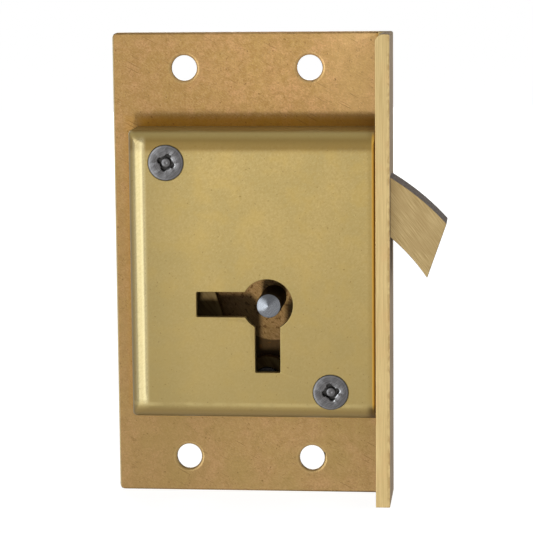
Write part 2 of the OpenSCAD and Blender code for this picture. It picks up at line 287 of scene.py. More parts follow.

# %% [markdown]
# ## Plate brass: the sanded sheet
#
# The plate is dull, sanded brass with a reddish cast. Pinker and greener patches drift through it
# under a fine grain and pale flecks, and the lower end is more olive. Painted shade darkens the lower
# end and the left side, and painted light brightens the upper right.
# A picture of brass could be laid over it, but noise has no seams and no fixed scale.

# %% Plate brass: the sanded sheet
HOLE_X, HOLE_Z, HOLE_R = 10.25, 32.25, 2.05
PLATE_LOW, PLATE_HIGH = -38.0, 38.0
PLATE_TONES = {
    "green": srgb(184, 149, 88), "pink": srgb(203, 156, 108), "drift": srgb(166, 129, 74),
    "grain": srgb(158, 122, 72), "fleck": srgb(212, 178, 130), "olive": srgb(156, 136, 70),
    "lower_end": srgb(132, 112, 76), "left_side": srgb(118, 92, 54), "upper_right": srgb(232, 194, 132),
    "worn_floor": srgb(112, 80, 46), "greasy_floor": srgb(50, 36, 21), "grime": srgb(164, 112, 6),
    "dirt": srgb(88, 60, 30), "sheared_end": srgb(122, 98, 58), "rubbed_edge": srgb(228, 208, 160),
    "hole_rim": srgb(216, 188, 128), "hole_wall": srgb(64, 50, 32)}


def sanded_plate(p, x, z):
    """The plate's colour, with its patches, grain and flecks, and painted shade and light over it."""
    patches = p.noise(0.2, 4.0, 0.6)
    drift = p.noise(0.7, 3.0, 0.65)
    grain = p.noise(3.2, 2.0, 0.7)
    flecks = p.stretch(1.0, 1.0, 4.0, (0.0, 0.6, 0.0)).noise(1.6, 3.0, 0.6)
    tints = p.noise(0.12, 2.0, 0.5).smooth(0.42, 0.62) * z.fall(-34.0, 4.0)
    colour = patches.smooth(0.32, 0.68).blend(PLATE_TONES["green"], PLATE_TONES["pink"])
    colour = paint(
        colour, PLATE_TONES,
        drift=drift.smooth(0.42, 0.60) * 0.7,
        grain=grain.smooth(0.3, 0.7) * 0.8,
        fleck=flecks.smooth(0.46, 0.72) * 0.4,
        olive=tints * 0.3,
        # painted shade darkens the lower end and the left side, and painted light brightens the upper right
        lower_end=z.fall(PLATE_LOW - 8.0, PLATE_HIGH) * 0.5,
        left_side=x.fall(-20.0, 6.0) * 0.33,
        upper_right=x.smooth(8.0, 20.0) * z.smooth(8.0, 24.0) * 0.32)
    return colour, patches, grain, flecks


print("plate tones:", len(PLATE_TONES))

# %% [markdown]
# ## Plate brass: the floor, the grime and the painted shade
#
# Under the cover the plate is the floor of the lock. The key's bit keeps a circle round the drill pin
# clean, and old grease stays dark outside that circle; painted shade darkens the floor further to the
# left and low down. On the open plate, grime gathers above and beside the cover and along the forend,
# and there it also stands in for shade: it deepens the cover's cast shadow as painted shadow, and draws
# a line of painted shade along the forend's foot. The distance from the cover's outline and the
# distance from the pin tell these places apart, so no painted map is needed.

# %% Plate brass: the floor, the grime and the painted shade
COVER = {"left": -18.4, "right": 21.27, "low": -23.9, "high": 22.8, "depth": 9.5}
COVER_MID, COVER_HALF = (COVER["low"] + COVER["high"]) / 2, (COVER["high"] - COVER["low"]) / 2
FOREND_IN, FOREND_OUT = 21.35, 23.65
KEY, SWEEP_R = (4.2, -5.3), 7.1


def dirty_plate(p, x, y, z, colour):
    """The colour with the worn floor, its grease and painted shade, the grime with its painted shadow, and
    where the floor is.
    """
    beside = abs(x - (COVER["left"] + COVER["right"]) / 2) - (COVER["right"] - COVER["left"]) / 2
    past = beside.larger(abs(z - COVER_MID) - COVER_HALF)
    front = y.fall(0.3, 0.9)
    floor = past.fall(-1.4, -1.0) * front
    worn = p.stretch(4.0, 1.0, 0.5, (0.0, -0.8, 0.0)).noise(2.0, 2.0, 0.6)
    # grease outside the key's circle, and painted shade on the floor to the left and low down
    unswept = distance(x, z, *KEY).smooth(SWEEP_R - 0.2, SWEEP_R + 0.2) * z.fall(-10.0, -7.0)
    greasy = (unswept * 0.9).larger(x.fall(-6.0, 2.0) * 0.45).larger(z.fall(-13.0, -7.0) * 0.25)
    # grime and painted shadow: it deepens the cover's cast shadow and draws a line of painted shade along
    # the forend's foot
    grime = past.fall(0.8, 2.4) * z.smooth(COVER["low"] - 1.0, COVER["low"] + 1.0)
    grime = grime * (x.smooth(COVER["left"] - 0.4, COVER["left"] + 1.6) * 0.5 + 0.25)
    grime = grime.larger(x.smooth(FOREND_IN - 0.5, FOREND_IN) * 0.6)
    colour = paint(
        colour, PLATE_TONES,
        worn_floor=floor * (worn.smooth(0.35, 0.7) * 0.6 + 0.15),
        greasy_floor=floor * greasy,
        grime=grime * front * (1 - floor))
    return colour, floor


print("cover outline:", COVER)

# %% [markdown]
# ## Plate brass: marks and edges
#
# Sanding left short slanting marks, and years of use added winding creases, a few long scratches and
# a sprinkle of dark pits. They could be cut into the mesh, but as a bump they cost no faces. A winding
# line is where a noise crosses its middle value. The plate's upper and lower end faces are painted
# darker, and its free left edge carries a painted highlight. The drill left the rims of the screw holes
# clean and smooth; they are painted paler, partly as clean metal and partly as a painted highlight, and
# the hole walls carry painted shade.


# %% Plate brass: marks and edges
def plate_dirt(p, floor):
    """How dirty each point is: pits, scratches and creases, and small holes in the floor."""
    scratches = p.stretch(0.2, 1.0, 5.0, (0.0, 0.5, 0.0)).noise(1.0, 1.0, 0.4).smooth(0.68, 0.75)
    pits = p.noise(1.7, 2.0, 0.5).smooth(0.66, 0.74)
    creased = p.noise(0.45, 2.0, 0.5).smooth(0.48, 0.62)
    winding = p.stretch(1.0, 1.0, 1.4, (0.0, 0.4, 0.0)).noise(0.8, 3.0, 0.6)
    creases = abs(winding - 0.5).fall(0.0, 0.016) * creased
    holes = p.noise(1.3, 2.0, 0.6).smooth(0.58, 0.64) * floor
    return (pits * 0.6).larger(scratches * 0.5).larger(holes * 0.8).larger(creases * 0.4)


def make_plate_brass():
    made, shader, p = new_metal("plate_brass")
    x, y, z = p.split()
    colour, patches, grain, flecks = sanded_plate(p, x, z)
    colour, floor = dirty_plate(p, x, y, z, colour)
    dirt = plate_dirt(p, floor)
    rim = distance(abs(x), abs(z), HOLE_X, HOLE_Z).fall(HOLE_R + 0.42, HOLE_R + 0.56)
    out, back, up = facing(p)
    # painted highlight on the left edge, paler hole rims as clean metal and painted highlight, painted
    # shade on the hole walls, and darker end faces
    colour = paint(
        colour, PLATE_TONES,
        dirt=dirt,
        sheared_end=abs(up).smooth(0.5, 0.9) * (1 - rim) * 0.7,
        rubbed_edge=(-out).smooth(0.5, 0.8) * (1 - rim) * 0.7,
        hole_rim=rim * 0.2,
        hole_wall=rim * abs(back).fall(0.25, 0.55) * 0.9)
    rough = (0.42 + 0.12 * patches + 0.10 * grain) * (1 - rim) + 0.24 * rim
    sanding = p.stretch(6.0, 1.0, 0.5, (0.0, 1.0, 0.0)).noise(1.4, 2.0, 0.5)
    relief = grain * 0.5 + flecks * 0.3 + sanding * 0.4 - dirt * 0.8
    finish_metal(shader, colour, rough, 0.28 - 0.22 * floor, relief, 0.013, BRASS_RIM)
    return made


plate_brass = make_plate_brass()
print(plate_brass.name)

# %% [markdown]
# ## Forend brass
#
# The forend was ground along its length, so its marks run up and down in pale and dull streaks, and
# its outer edge is nicked. Its outer face, its top and its ends are painted grey as painted shade, and
# the side that looks at the cover is painted orange as a painted reflection in the gap. Each side could
# have a finish of its own, but the direction that a face looks in tells them apart within one.

# %% Forend brass
FOREND_TONES = {
    "dull_line": srgb(180, 155, 105), "pale_line": srgb(203, 179, 128), "grain": srgb(186, 160, 112),
    "patch": srgb(196, 160, 110), "nick": srgb(146, 116, 70), "grey": srgb(140, 126, 110),
    "pale_grey": srgb(174, 159, 142), "polish": srgb(160, 112, 46)}


def make_forend_brass():
    made, shader, p = new_metal("forend_brass")
    x, _, z = p.split()
    lines = p.stretch(7.0, 7.0, 0.12).noise(1.0, 3.0, 0.65)
    grain = p.stretch(1.0, 1.0, 0.4).noise(4.0, 2.0, 0.6)
    patches = p.noise(0.25, 3.0, 0.5)
    colour = lines.smooth(0.25, 0.75).blend(FOREND_TONES["dull_line"], FOREND_TONES["pale_line"])
    nicks = p.stretch(1.0, 1.0, 0.5).noise(1.6, 3.0, 0.6).smooth(0.4, 0.6)
    nicks = nicks * x.smooth(FOREND_OUT - 0.7, FOREND_OUT)
    colour = paint(
        colour, FOREND_TONES,
        grain=grain.smooth(0.45, 0.75) * 0.3,
        patch=patches.smooth(0.5, 0.75) * 0.4,
        nick=nicks * 0.6)
    out, back, _ = facing(p)
    # painted orange reflection on the side that faces the cover, and painted grey shade on the outer face,
    # the top and the ends
    inner = (-out).smooth(0.3, 0.7) * abs(z - COVER_MID).fall(COVER_HALF, COVER_HALF + 1.0)
    worn = abs(back).fall(0.3, 0.6) * (1 - inner)
    streaks = (lines * 0.7 + patches * 0.3).smooth(0.3, 0.7)
    dull = streaks.blend(FOREND_TONES["grey"], FOREND_TONES["pale_grey"])
    colour = (worn * 0.9).blend(colour, dull)
    colour = (inner * 0.7).blend(colour, FOREND_TONES["polish"])
    relief = lines + grain * 0.5
    finish_metal(shader, colour, 0.36 + 0.2 * lines, 0.4 - 0.25 * worn, relief, 0.008, DULL_RIM, 0.0)
    return made


forend_brass = make_forend_brass()
print(forend_brass.name)

# %% [markdown]
# ## Cover brass: the flat sheet
#
# The cover is rolled sheet with a satin, olive-yellow face under thin lacquer. It has cloudy stains,
# fine specks and very fine cross marks, and painted shade darkens it towards its lower end and its left
# side.
# The lacquer is the shader's own coat, which keeps its gloss apart from the metal's.

# %% Cover brass: the flat sheet
SHEET, BEND, EASE, CORNER = 1.2, 2.6, 0.5, 0.6
COVER_TONES = {
    "olive": srgb(167, 147, 95), "yellow": srgb(179, 155, 100), "grain": srgb(162, 138, 82),
    "satin": srgb(204, 182, 124), "stain": srgb(184, 154, 82), "lower_end": srgb(140, 122, 76),
    "left_side": srgb(116, 101, 62), "speck": srgb(112, 88, 44), "upper_bend": srgb(170, 150, 92),
    "lower_bend": srgb(128, 106, 62), "tarnish": srgb(112, 86, 36), "rubbed": srgb(222, 204, 146),
    "polished": srgb(226, 214, 168), "foot": srgb(92, 78, 40), "dull_end": srgb(132, 108, 56),
    "cut": srgb(204, 158, 62), "gap": srgb(112, 68, 26), "dark_corner": srgb(64, 44, 16)}


def satin_sheet(p, x, z):
    """The colour of the flat sheet, with its clouds, stains, grain and satin, and painted shade low down
    and at the left.
    """
    clouds = p.noise(0.12, 4.0, 0.6)
    stains = p.noise(0.35, 3.0, 0.55)
    grain = p.noise(2.4, 2.0, 0.65)
    satin = p.stretch(1.0, 1.0, 2.5, (0.0, -0.7, 0.0)).noise(2.0, 3.0, 0.6)
    specks = p.noise(2.0, 1.0, 0.5).smooth(0.68, 0.75)
    colour = clouds.smooth(0.3, 0.72).blend(COVER_TONES["olive"], COVER_TONES["yellow"])
    colour = paint(
        colour, COVER_TONES,
        grain=grain.smooth(0.3, 0.7) * 0.75,
        satin=satin.smooth(0.5, 0.75) * 0.4,
        stain=stains.smooth(0.46, 0.68) * 0.28,
        # painted shade darkens the lower end and the left side
        lower_end=z.fall(COVER["low"] - 6.0, COVER["high"]) * 0.7,
        left_side=x.fall(COVER["left"], COVER["left"] + 14.0) * 0.44,
        speck=specks * 0.5)
    return colour, clouds, stains, grain, satin


print("cover tones:", len(COVER_TONES))

# %% [markdown]
# ## Cover brass: the bends and the free end
#
# The bends and walls carry painted shading. The upper bend is painted an even tone as painted shading,
# the lower bend and the walls' feet are painted darker as painted shade, a line of painted shade lies
# along the root of the upper bend, a thin painted highlight along the root of the lower one, and a
# broad painted highlight on the left bend. The free end has a band of painted shade, a painted yellow
# reflection at its cut edge, painted shade in the gap and a painted shadow in the lower corner. A
# point's place on the sheet tells all of these apart.

# %% Cover brass: the bends and the free end
UPPER_ROOT, LOWER_ROOT = COVER["high"] - BEND - 0.4, COVER["low"] + BEND


def cover_bends(x, z, colour, stains, satin):
    """The colour with the painted shading of the three bends, and where the left one has its painted
    highlight.
    """
    left = COVER["left"]
    # painted shade along the upper bend's root, a painted highlight along the lower one's, and a painted
    # highlight on the left bend
    tarnish = z.band(UPPER_ROOT - 0.7, UPPER_ROOT + 0.3, UPPER_ROOT + 1.3, UPPER_ROOT + 2.6)
    rubbed = z.band(LOWER_ROOT - 0.7, LOWER_ROOT - 0.3, LOWER_ROOT - 0.1, LOWER_ROOT + 0.3)
    polished = x.band(left + 0.7, left + 1.1, left + 2.3, left + 3.3)
    polished = polished * z.band(LOWER_ROOT - 0.8, LOWER_ROOT + 0.8, UPPER_ROOT + 1.2, UPPER_ROOT + 2.4)
    shine = x.smooth(left + 1.9, left + 2.5) * 0.2 + satin.smooth(0.3, 0.6) * 0.1 + 0.2
    # painted shade on the walls' feet and painted shading on both bends
    feet = z.fall(LOWER_ROOT - 2.5, LOWER_ROOT - 1.5).larger(x.fall(left, left + 0.7))
    colour = paint(
        colour, COVER_TONES,
        upper_bend=z.smooth(UPPER_ROOT, UPPER_ROOT + 1.2) * 0.75,
        lower_bend=z.fall(LOWER_ROOT - 1.4, LOWER_ROOT - 0.4) * 0.8,
        tarnish=tarnish * 0.72,
        rubbed=rubbed * (stains.smooth(0.3, 0.6) * 0.12 + 0.03),
        polished=polished * shine,
        foot=feet * 0.6)
    return colour, polished


def cover_end(x, y, z, colour):
    """The colour with the free end: a band of painted shade, a painted yellow reflection at the cut edge,
    painted shade in the gap and a painted shadow in the corner.
    """
    end = COVER["right"]
    # the cut edge is painted yellow as a painted reflection of the forend; the band, the gap and the lower
    # corner get painted shade
    cut = x.smooth(end - 0.6, end - 0.35) * (y + COVER["depth"]).fall(0.4, 1.6)
    corner = x.smooth(end - 1.8, end - 0.3) * z.fall(LOWER_ROOT - 1.0, LOWER_ROOT + 0.3)
    return paint(
        colour, COVER_TONES,
        dull_end=x.smooth(end - 1.4, end - 0.8) * 0.3,
        cut=cut * 0.85,
        gap=x.smooth(end - 0.25, end - 0.1) * 0.6,
        dark_corner=corner * 0.9)


def make_cover_brass():
    made, shader, p = new_metal("cover_brass")
    x, y, z = p.split()
    colour, clouds, stains, grain, satin = satin_sheet(p, x, z)
    colour, polished = cover_bends(x, z, colour, stains, satin)
    colour = cover_end(x, y, z, colour)
    rough = 0.30 + 0.12 * grain + 0.06 * clouds - 0.2 * polished
    finish_metal(shader, colour, rough, 0.4, satin * 0.6 + grain * 0.4, 0.008, BRASS_RIM)
    shader.inputs["Coat Weight"].default_value = 0.12
    shader.inputs["Coat Roughness"].default_value = 0.3
    return made


cover_brass = make_cover_brass()
print(cover_brass.name)

# %% [markdown]
# ## Bolt and lever brass
#
# The hook's face was drawn over a flat stone, so its marks are fine, straight and slanting, and its
# sawn edge faces are painted grey as painted shade. Inside the case the bolt's tail is smeared with old
# oil and painted darker as painted shade, and the levers of pressed sheet are painted dark as painted
# shade too. Noise that is stretched along one direction gives all of these lines.

# %% Bolt and lever brass
STONE_TURN = (0.0, -0.66, 0.0)
BOLT_TONES = {
    "dark_line": srgb(149, 126, 84), "pale_line": srgb(182, 159, 114), "patch": srgb(156, 132, 90),
    "sawn": srgb(98, 92, 90), "pale_sawn": srgb(128, 121, 118),
    "oil": srgb(92, 72, 42), "pale_oil": srgb(116, 97, 62)}


def make_bolt_brass():
    made, shader, p = new_metal("bolt_brass")
    lines = p.stretch(9.0, 1.0, 0.3, STONE_TURN).noise(1.0, 2.0, 0.6)
    patches = p.stretch(1.0, 1.0, 0.4, STONE_TURN).noise(0.6, 3.0, 0.5)
    colour = lines.smooth(0.3, 0.7).blend(BOLT_TONES["dark_line"], BOLT_TONES["pale_line"])
    colour = (patches.smooth(0.4, 0.7) * 0.5).blend(colour, BOLT_TONES["patch"])
    # the edge faces are painted grey, as painted shade
    edge = abs(facing(p)[1]).fall(0.4, 0.85)
    sawn = p.stretch(3.0, 0.6, 3.0).noise(1.2, 3.0, 0.6)
    grey = sawn.smooth(0.3, 0.7).blend(BOLT_TONES["sawn"], BOLT_TONES["pale_sawn"])
    colour = (edge * 0.95).blend(colour, grey)
    # the tail inside the case is painted dark, partly as oil and partly as painted shade
    oiled = p.split()[0].fall(14.0, FOREND_IN)
    smears = p.stretch(1.6, 1.0, 0.25, STONE_TURN).noise(1.0, 2.0, 0.5)
    oil = smears.smooth(0.35, 0.65).blend(BOLT_TONES["oil"], BOLT_TONES["pale_oil"])
    colour = (oiled * 0.96).blend(colour, oil)
    metal = 0.4 - 0.25 * edge.larger(oiled)
    relief = lines * (1 - edge) + sawn * edge
    finish_metal(shader, colour, 0.4 + 0.12 * lines, metal, relief, 0.006, DULL_RIM, 0.0)
    return made


def make_lever_brass():
    made, shader, p = new_metal("lever_brass")
    lines = p.stretch(0.5, 4.0, 6.0).noise(1.0, 3.0, 0.6)
    # the levers are painted darker than their brass, as painted shade inside the case
    colour = lines.smooth(0.3, 0.7).blend(srgb(80, 63, 36), srgb(106, 88, 53))
    finish_metal(shader, colour, 0.38 + 0.16 * lines, 0.25, lines, 0.01, BRASS_RIM)
    return made


bolt_brass, lever_brass = make_bolt_brass(), make_lever_brass()
print(bolt_brass.name, lever_brass.name)

# %% [markdown]
# ## Turned steel
#
# The screws and the drill pin were turned, so fine rings run round their axes. Rings come from noise
# over two numbers, the distance from the axis and the depth. The screws' recesses and the outer edges
# of their heads are painted dark, partly as dirt and partly as painted shade, and the rims of the
# recesses carry a painted highlight where they face left. The pin's cone is painted darker on its upper
# half and its side is painted brown, both as painted shade.

# %% Turned steel
SCREWS = ((-12.1, 17.7), (14.1, -19.3))
HEAD_R, HEAD_TOP, RECESS_DIRT = 2.85, 9.62, 9.46
RINGS_PER_MM = 7.0


def turned(p, x, y, z, centres, dark, light):
    """The colour of turned steel, the distance from the nearer axis, the rings and the nicks."""
    away = distance(x, z, *centres[0])
    for centre in centres[1:]:
        away = p.math("MINIMUM", away, distance(x, z, *centre))
    about = p.node("ShaderNodeCombineXYZ", None, {0: away * RINGS_PER_MM, 1: y * RINGS_PER_MM})
    rings = about.noise(1.0, 2.0, 0.6)
    nicks = p.stretch(4.0, 1.0, 0.6, (0.0, 0.8, 0.0)).noise(1.6, 2.0, 0.5)
    colour = (rings * 0.6 + nicks * 0.4).smooth(0.3, 0.7).blend(dark, light)
    return colour, away, rings, nicks


def make_screw_steel():
    made, shader, p = new_metal("screw_steel")
    x, y, z = p.split()
    colour, away, rings, nicks = turned(p, x, y, z, SCREWS, srgb(74, 72, 72), srgb(110, 108, 108))
    # painted highlight on the recess rim where it faces left
    scraped = (y + HEAD_TOP).smooth(0.01, 0.05) * away.band(0.9, 1.0, 1.7, 1.8)
    scraped = scraped * (-facing(p)[0]).smooth(0.1, 0.45) * nicks.smooth(0.4, 0.55)
    colour = (scraped * 0.85).blend(colour, srgb(214, 215, 216))
    # the recess and the head's outer edge are painted dark, partly as dirt and partly as painted shade
    sunk = (y + RECESS_DIRT).smooth(0.0, 0.12) * away.fall(1.5, 1.6)
    dirt = sunk.larger(away.smooth(HEAD_R - 0.11, HEAD_R - 0.01) * 0.8)
    colour = dirt.blend(colour, srgb(44, 42, 40))
    finish_metal(shader, colour, 0.28 + 0.1 * nicks, 0.85 - 0.6 * dirt, rings, 0.004)
    return made


def make_pin_steel():
    made, shader, p = new_metal("pin_steel")
    x, y, z = p.split()
    colour, away, rings, nicks = turned(p, x, y, z, (KEY,), srgb(106, 108, 112), srgb(130, 132, 136))
    before_plate = y.fall(0.0, 0.5)
    # painted shade on the upper half of the cone
    upper_half = ((z - KEY[1]) / (away + 0.05)).smooth(0.3, 0.95) * before_plate
    colour = (upper_half * 0.6).blend(colour, srgb(60, 61, 64))
    # painted shade on the pin's side
    side = (y + COVER["depth"]).smooth(-0.05, 0.15) * before_plate
    colour = (side * 0.95).blend(colour, srgb(84, 70, 54))
    finish_metal(shader, colour, 0.18 + 0.1 * nicks, 0.85 - 0.6 * side, rings, 0.004, DULL_RIM, 0.0)
    return made


screw_steel, pin_steel = make_screw_steel(), make_pin_steel()
print(screw_steel.name, pin_steel.name)

# %% [markdown]
# ## Drawn steel
#
# The posts are drawn bar and the leaf springs are blued strip. Both keep fine straight lines from the
# mill. They could have a finish each, but the cover hides them, so one function with two colours serves.


# %% Drawn steel
def make_drawn_steel(name, dark, light, rough):
    """Steel with marks along the depth."""
    made, shader, p = new_metal(name)
    lines = p.stretch(5.0, 0.4, 5.0).noise(1.0, 2.0, 0.6)
    colour = lines.smooth(0.3, 0.7).blend(dark, light)
    finish_metal(shader, colour, rough + 0.15 * lines, 0.85, lines, 0.006)
    return made


post_steel = make_drawn_steel("post_steel", srgb(64, 62, 60), srgb(100, 98, 98), 0.4)
spring_steel = make_drawn_steel("spring_steel", srgb(84, 92, 110), srgb(120, 126, 140), 0.3)
print(post_steel.name, spring_steel.name)

# %% [markdown]
# ## Dressing the solids
#
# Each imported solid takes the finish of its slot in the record. The posts, the pillars, the stump and
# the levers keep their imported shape, and the pieces that follow stand for the others.

# %% Finishes on the solids
FINISHES = {"plate_brass": plate_brass, "forend_brass": forend_brass, "cover_brass": cover_brass,
            "bolt_brass": bolt_brass, "lever_brass": lever_brass, "screw_steel": screw_steel,
            "pin_steel": pin_steel, "post_steel": post_steel, "spring_steel": spring_steel}
slot_of = {part["node"]: part["material_slot"] for part in frame["record"]["subparts"]}
for name, solid in nodes.items():
    solid.data.materials.clear()
    solid.data.materials.append(FINISHES[slot_of[name]])
print("dressed", len(slot_of))

# %% [markdown]
# ## Soft edges on the flat pieces
#
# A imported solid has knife-sharp edges, and no real metal edge is that sharp: it is the narrow bright
# line along an edge that tells the eye what it is made of. A copy of each solid gets its flat
# faces joined, and then a bevel whose width can differ from edge to edge.

# %% Soften a solid
SHARP = math.radians(30)
FLAT = math.radians(0.4)
SAME_POINT = 0.0005 * MM
BEVEL_STEPS = 3


def add_piece(name, mesh, finish, body, slot_name, *stands_for):
    """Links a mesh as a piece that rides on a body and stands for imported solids."""
    piece = bpy.data.objects.new(name, mesh)
    bpy.context.scene.collection.objects.link(piece)
    mesh.materials.clear()
    mesh.materials.append(finish)
    mesh.shade_smooth()
    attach(piece, body)
    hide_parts(*stands_for)
    return piece


def even_normals(piece):
    """Large flat faces keep flat shading beside the rounded edges."""
    normals = piece.modifiers.new("even_normals", "WEIGHTED_NORMAL")
    normals.keep_sharp = True


def soften(node, name, finish, body, width_mm, share=None):
    """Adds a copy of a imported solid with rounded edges; share gives an edge's part of the width."""
    mesh = nodes[node].data.copy()
    shape = bmesh.new()
    shape.from_mesh(mesh)
    bmesh.ops.remove_doubles(shape, verts=shape.verts, dist=SAME_POINT)
    bmesh.ops.dissolve_limit(shape, angle_limit=FLAT, verts=shape.verts, edges=shape.edges)
    weight = shape.edges.layers.float.new("bevel_weight_edge")
    for edge in shape.edges:
        if edge.calc_face_angle(0) > SHARP:
            middle = (edge.verts[0].co + edge.verts[1].co) / 2 / MM
            edge[weight] = share(middle) if share else 1.0
    shape.to_mesh(mesh)
    shape.free()
    piece = add_piece(name, mesh, finish, body, slot_of[node], node)
    bevel = piece.modifiers.new("soft_edges", "BEVEL")
    bevel.limit_method, bevel.width, bevel.segments = "WEIGHT", width_mm * MM, BEVEL_STEPS
    bevel.use_clamp_overlap = share is None
    even_normals(piece)
    print(name, "faces", len(mesh.polygons))


print("edges over", round(math.degrees(SHARP)), "degrees are softened")

# %% [markdown]
# ## Plate and bolt
#
# The screw holes were drilled and then eased with a larger drill, so their rims are rounder
# than the plate's edges. The hook was filed by hand, by the same small amount all round.

# %% Plate and bolt
PLATE_EASE, HOOK_EASE = 0.5, 0.14
RIM_SHARE, EDGE_SHARE = 1.0, 0.2
NEAR, ON_FACE = 0.1, 0.01


def plate_share(middle):
    """Screw-hole rims on the cover's side take the whole width, and the joint with the forend none."""
    if middle.x > FOREND_IN - NEAR:
        return 0.0
    away = math.hypot(abs(middle.x) - HOLE_X, abs(middle.z) - HOLE_Z)
    return RIM_SHARE if abs(middle.y) < ON_FACE and away < HOLE_R + NEAR else EDGE_SHARE


soften("back_plate", "plate", plate_brass, "case", PLATE_EASE, plate_share)
soften("hook_bolt", "hook_and_tail", bolt_brass, "bolt", HOOK_EASE)

# %% [markdown]
# ## Rings and strips
#
# The other pieces are skinned from rings of points, as a basket is woven round its ribs: two
# neighbouring rings are joined by a strip of quads. Outlines are drawn flat, as x and height,
# and a ring sets one at a depth. This gives even faces, which a bevel on a cut solid would not.

# %% Rings and strips
CIRCLE_STEPS = 96
NO_LENGTH = 1e-9


def arc(cx, cz, r, first, last, steps):
    """Points about a centre, from one angle to another in degrees."""
    turns = [math.radians(first + (last - first) * i / steps) for i in range(steps + 1)]
    return [(cx + r * math.cos(a), cz + r * math.sin(a)) for a in turns]


def circle(cx, cz, r, count=CIRCLE_STEPS):
    return arc(cx, cz, r, 0, 360, count)[:-1]


def ring(shape, points):
    """Vertices at points given as x, depth and height in millimetres."""
    return [shape.verts.new((x * MM, -depth * MM, z * MM)) for x, depth, z in points]


def level_ring(shape, outline, depth):
    """A ring at one depth."""
    return ring(shape, [(x, depth, z) for x, z in outline])


def skin(shape, rings, closed=True):
    """Quads between neighbouring rings, which all have the same number of vertices."""
    for a, b in zip(rings, rings[1:]):
        for i in range(len(a) if closed else len(a) - 1):
            j = (i + 1) % len(a)
            corners = [a[i], a[j], b[j], b[i]]
            kept = [v for n, v in enumerate(corners) if (v.co - corners[n - 1].co).length > NO_LENGTH]
            if len(kept) > 2:
                shape.faces.new(kept)


print("ring of", len(circle(0, 0, 1)), "points")

# %% [markdown]
# ## Caps and cuts
#
# A flat face with holes is filled by cutting its outline into triangles, because one face with many
# corners can fold over a hole. A closed skin is a tube with a cap at both ends, and a slot or a
# countersink is a second tube that is cut away from the first.

# %% Caps and cuts
TOUCHING = 1e-6


def inside(spot, outline):
    """Whether a point lies in an outline, by counting the edges to its right."""
    hits = False
    for a, b in zip(outline, outline[1:] + outline[:1]):
        if (a.y > spot.y) != (b.y > spot.y):
            hits ^= spot.x < a.x + (spot.y - a.y) / (b.y - a.y) * (b.x - a.x)
    return hits


def cap(shape, *rings):
    """Fills the first ring with well-shaped triangles and leaves the others open as holes."""
    loose = [v for loop in rings for v in loop]
    flat = [Vector((v.co.x, v.co.z)) / MM for v in loose]
    sides, outlines = [], []
    for loop in rings:
        first = sum(len(outline) for outline in outlines)
        sides += [(first + i, first + (i + 1) % len(loop)) for i in range(len(loop))]
        outlines.append(flat[first:first + len(loop)])
    spots, _, triples, came_from, _, _ = delaunay_2d_cdt(flat, sides, [], 0, TOUCHING)
    for triple in triples:
        middle = sum((spots[i] for i in triple), Vector((0, 0))) / 3
        if inside(middle, outlines[0]) and not any(inside(middle, hole) for hole in outlines[1:]):
            shape.faces.new([loose[came_from[i][0]] for i in triple])


def tube(shape, rings):
    """A skin with both ends filled."""
    skin(shape, rings)
    cap(shape, rings[0])
    cap(shape, rings[-1])


def to_mesh(shape, name):
    bmesh.ops.remove_doubles(shape, verts=shape.verts, dist=SAME_POINT)
    bmesh.ops.recalc_face_normals(shape, faces=shape.faces)
    mesh = bpy.data.meshes.new(name)
    shape.to_mesh(mesh)
    shape.free()
    print(name, "faces", len(mesh.polygons))
    return mesh


def carve(mesh, tool):
    """The first mesh with the second cut away from it."""
    parts = [bpy.data.objects.new(m.name, m) for m in (mesh, tool)]
    for part in parts:
        bpy.context.scene.collection.objects.link(part)
    cut = parts[0].modifiers.new("cut", "BOOLEAN")
    cut.operation, cut.solver, cut.object = "DIFFERENCE", "EXACT", parts[1]
    graph = bpy.context.evaluated_depsgraph_get()
    made = bpy.data.meshes.new_from_object(parts[0].evaluated_get(graph))
    for part in parts:
        bpy.data.objects.remove(part)
    return made


print("caps and cuts ready")

# %% [markdown]
# ## Forend
#
# The forend is a flat bar with a slot for the hook. Before the plate its upper inner corner is filed
# round, and the other corners are only eased. Each ring is the bar's outline with four corner radii,
# and the slot is then cut by a band that follows the hook's own arc about the pivot.

# %% Forend
FOREND_DEPTH, PLATE_T, FOREND_EASE = 10.1, 2.4, 0.12
RADII_BEHIND, RADII_BEFORE, LEAST_R = (0.03, 0.15, 0.35, 0.03), (0.1, 0.15, 0.35, 1.3), 0.03
BAR_STEPS, ROUND_STEPS, SLOT_STEPS = 8, 4, 32
PIVOT, SLOT_R, SLOT_TURN, SLOT_DEPTH = (3.2, -18.6), (31.52, 39.75), (40, 75), (0.05, 8.1)


def bar_outline(inset, radii):
    """Counter-clockwise from the lower inner corner, with one radius for each corner."""
    x0, x1 = FOREND_IN + inset, FOREND_OUT - inset
    z0, z1 = PLATE_LOW + inset, PLATE_HIGH - inset
    points = []
    for (cx, cz, first), r in zip(((x0, z0, 180), (x1, z0, 270), (x1, z1, 0), (x0, z1, 90)), radii):
        r = max(r - inset, LEAST_R)
        mx, mz = cx + (r if cx == x0 else -r), cz + (r if cz == z0 else -r)
        points += arc(mx, mz, r, first, first + 90, BAR_STEPS)
    return points


def make_forend():
    shape = bmesh.new()
    turns = [math.pi / 2 * i / ROUND_STEPS for i in range(ROUND_STEPS + 1)]
    round_over = [(FOREND_EASE * (1 - math.cos(a)), FOREND_EASE * (1 - math.sin(a))) for a in turns]
    stack = [(inset, drop - PLATE_T, RADII_BEHIND) for inset, drop in reversed(round_over)]
    stack += [(0, 0, RADII_BEHIND), (0, 0, RADII_BEFORE)]
    stack += [(inset, FOREND_DEPTH - drop, RADII_BEFORE) for inset, drop in round_over]
    tube(shape, [level_ring(shape, bar_outline(inset, radii), depth) for inset, depth, radii in stack])
    return to_mesh(shape, "forend_bar")


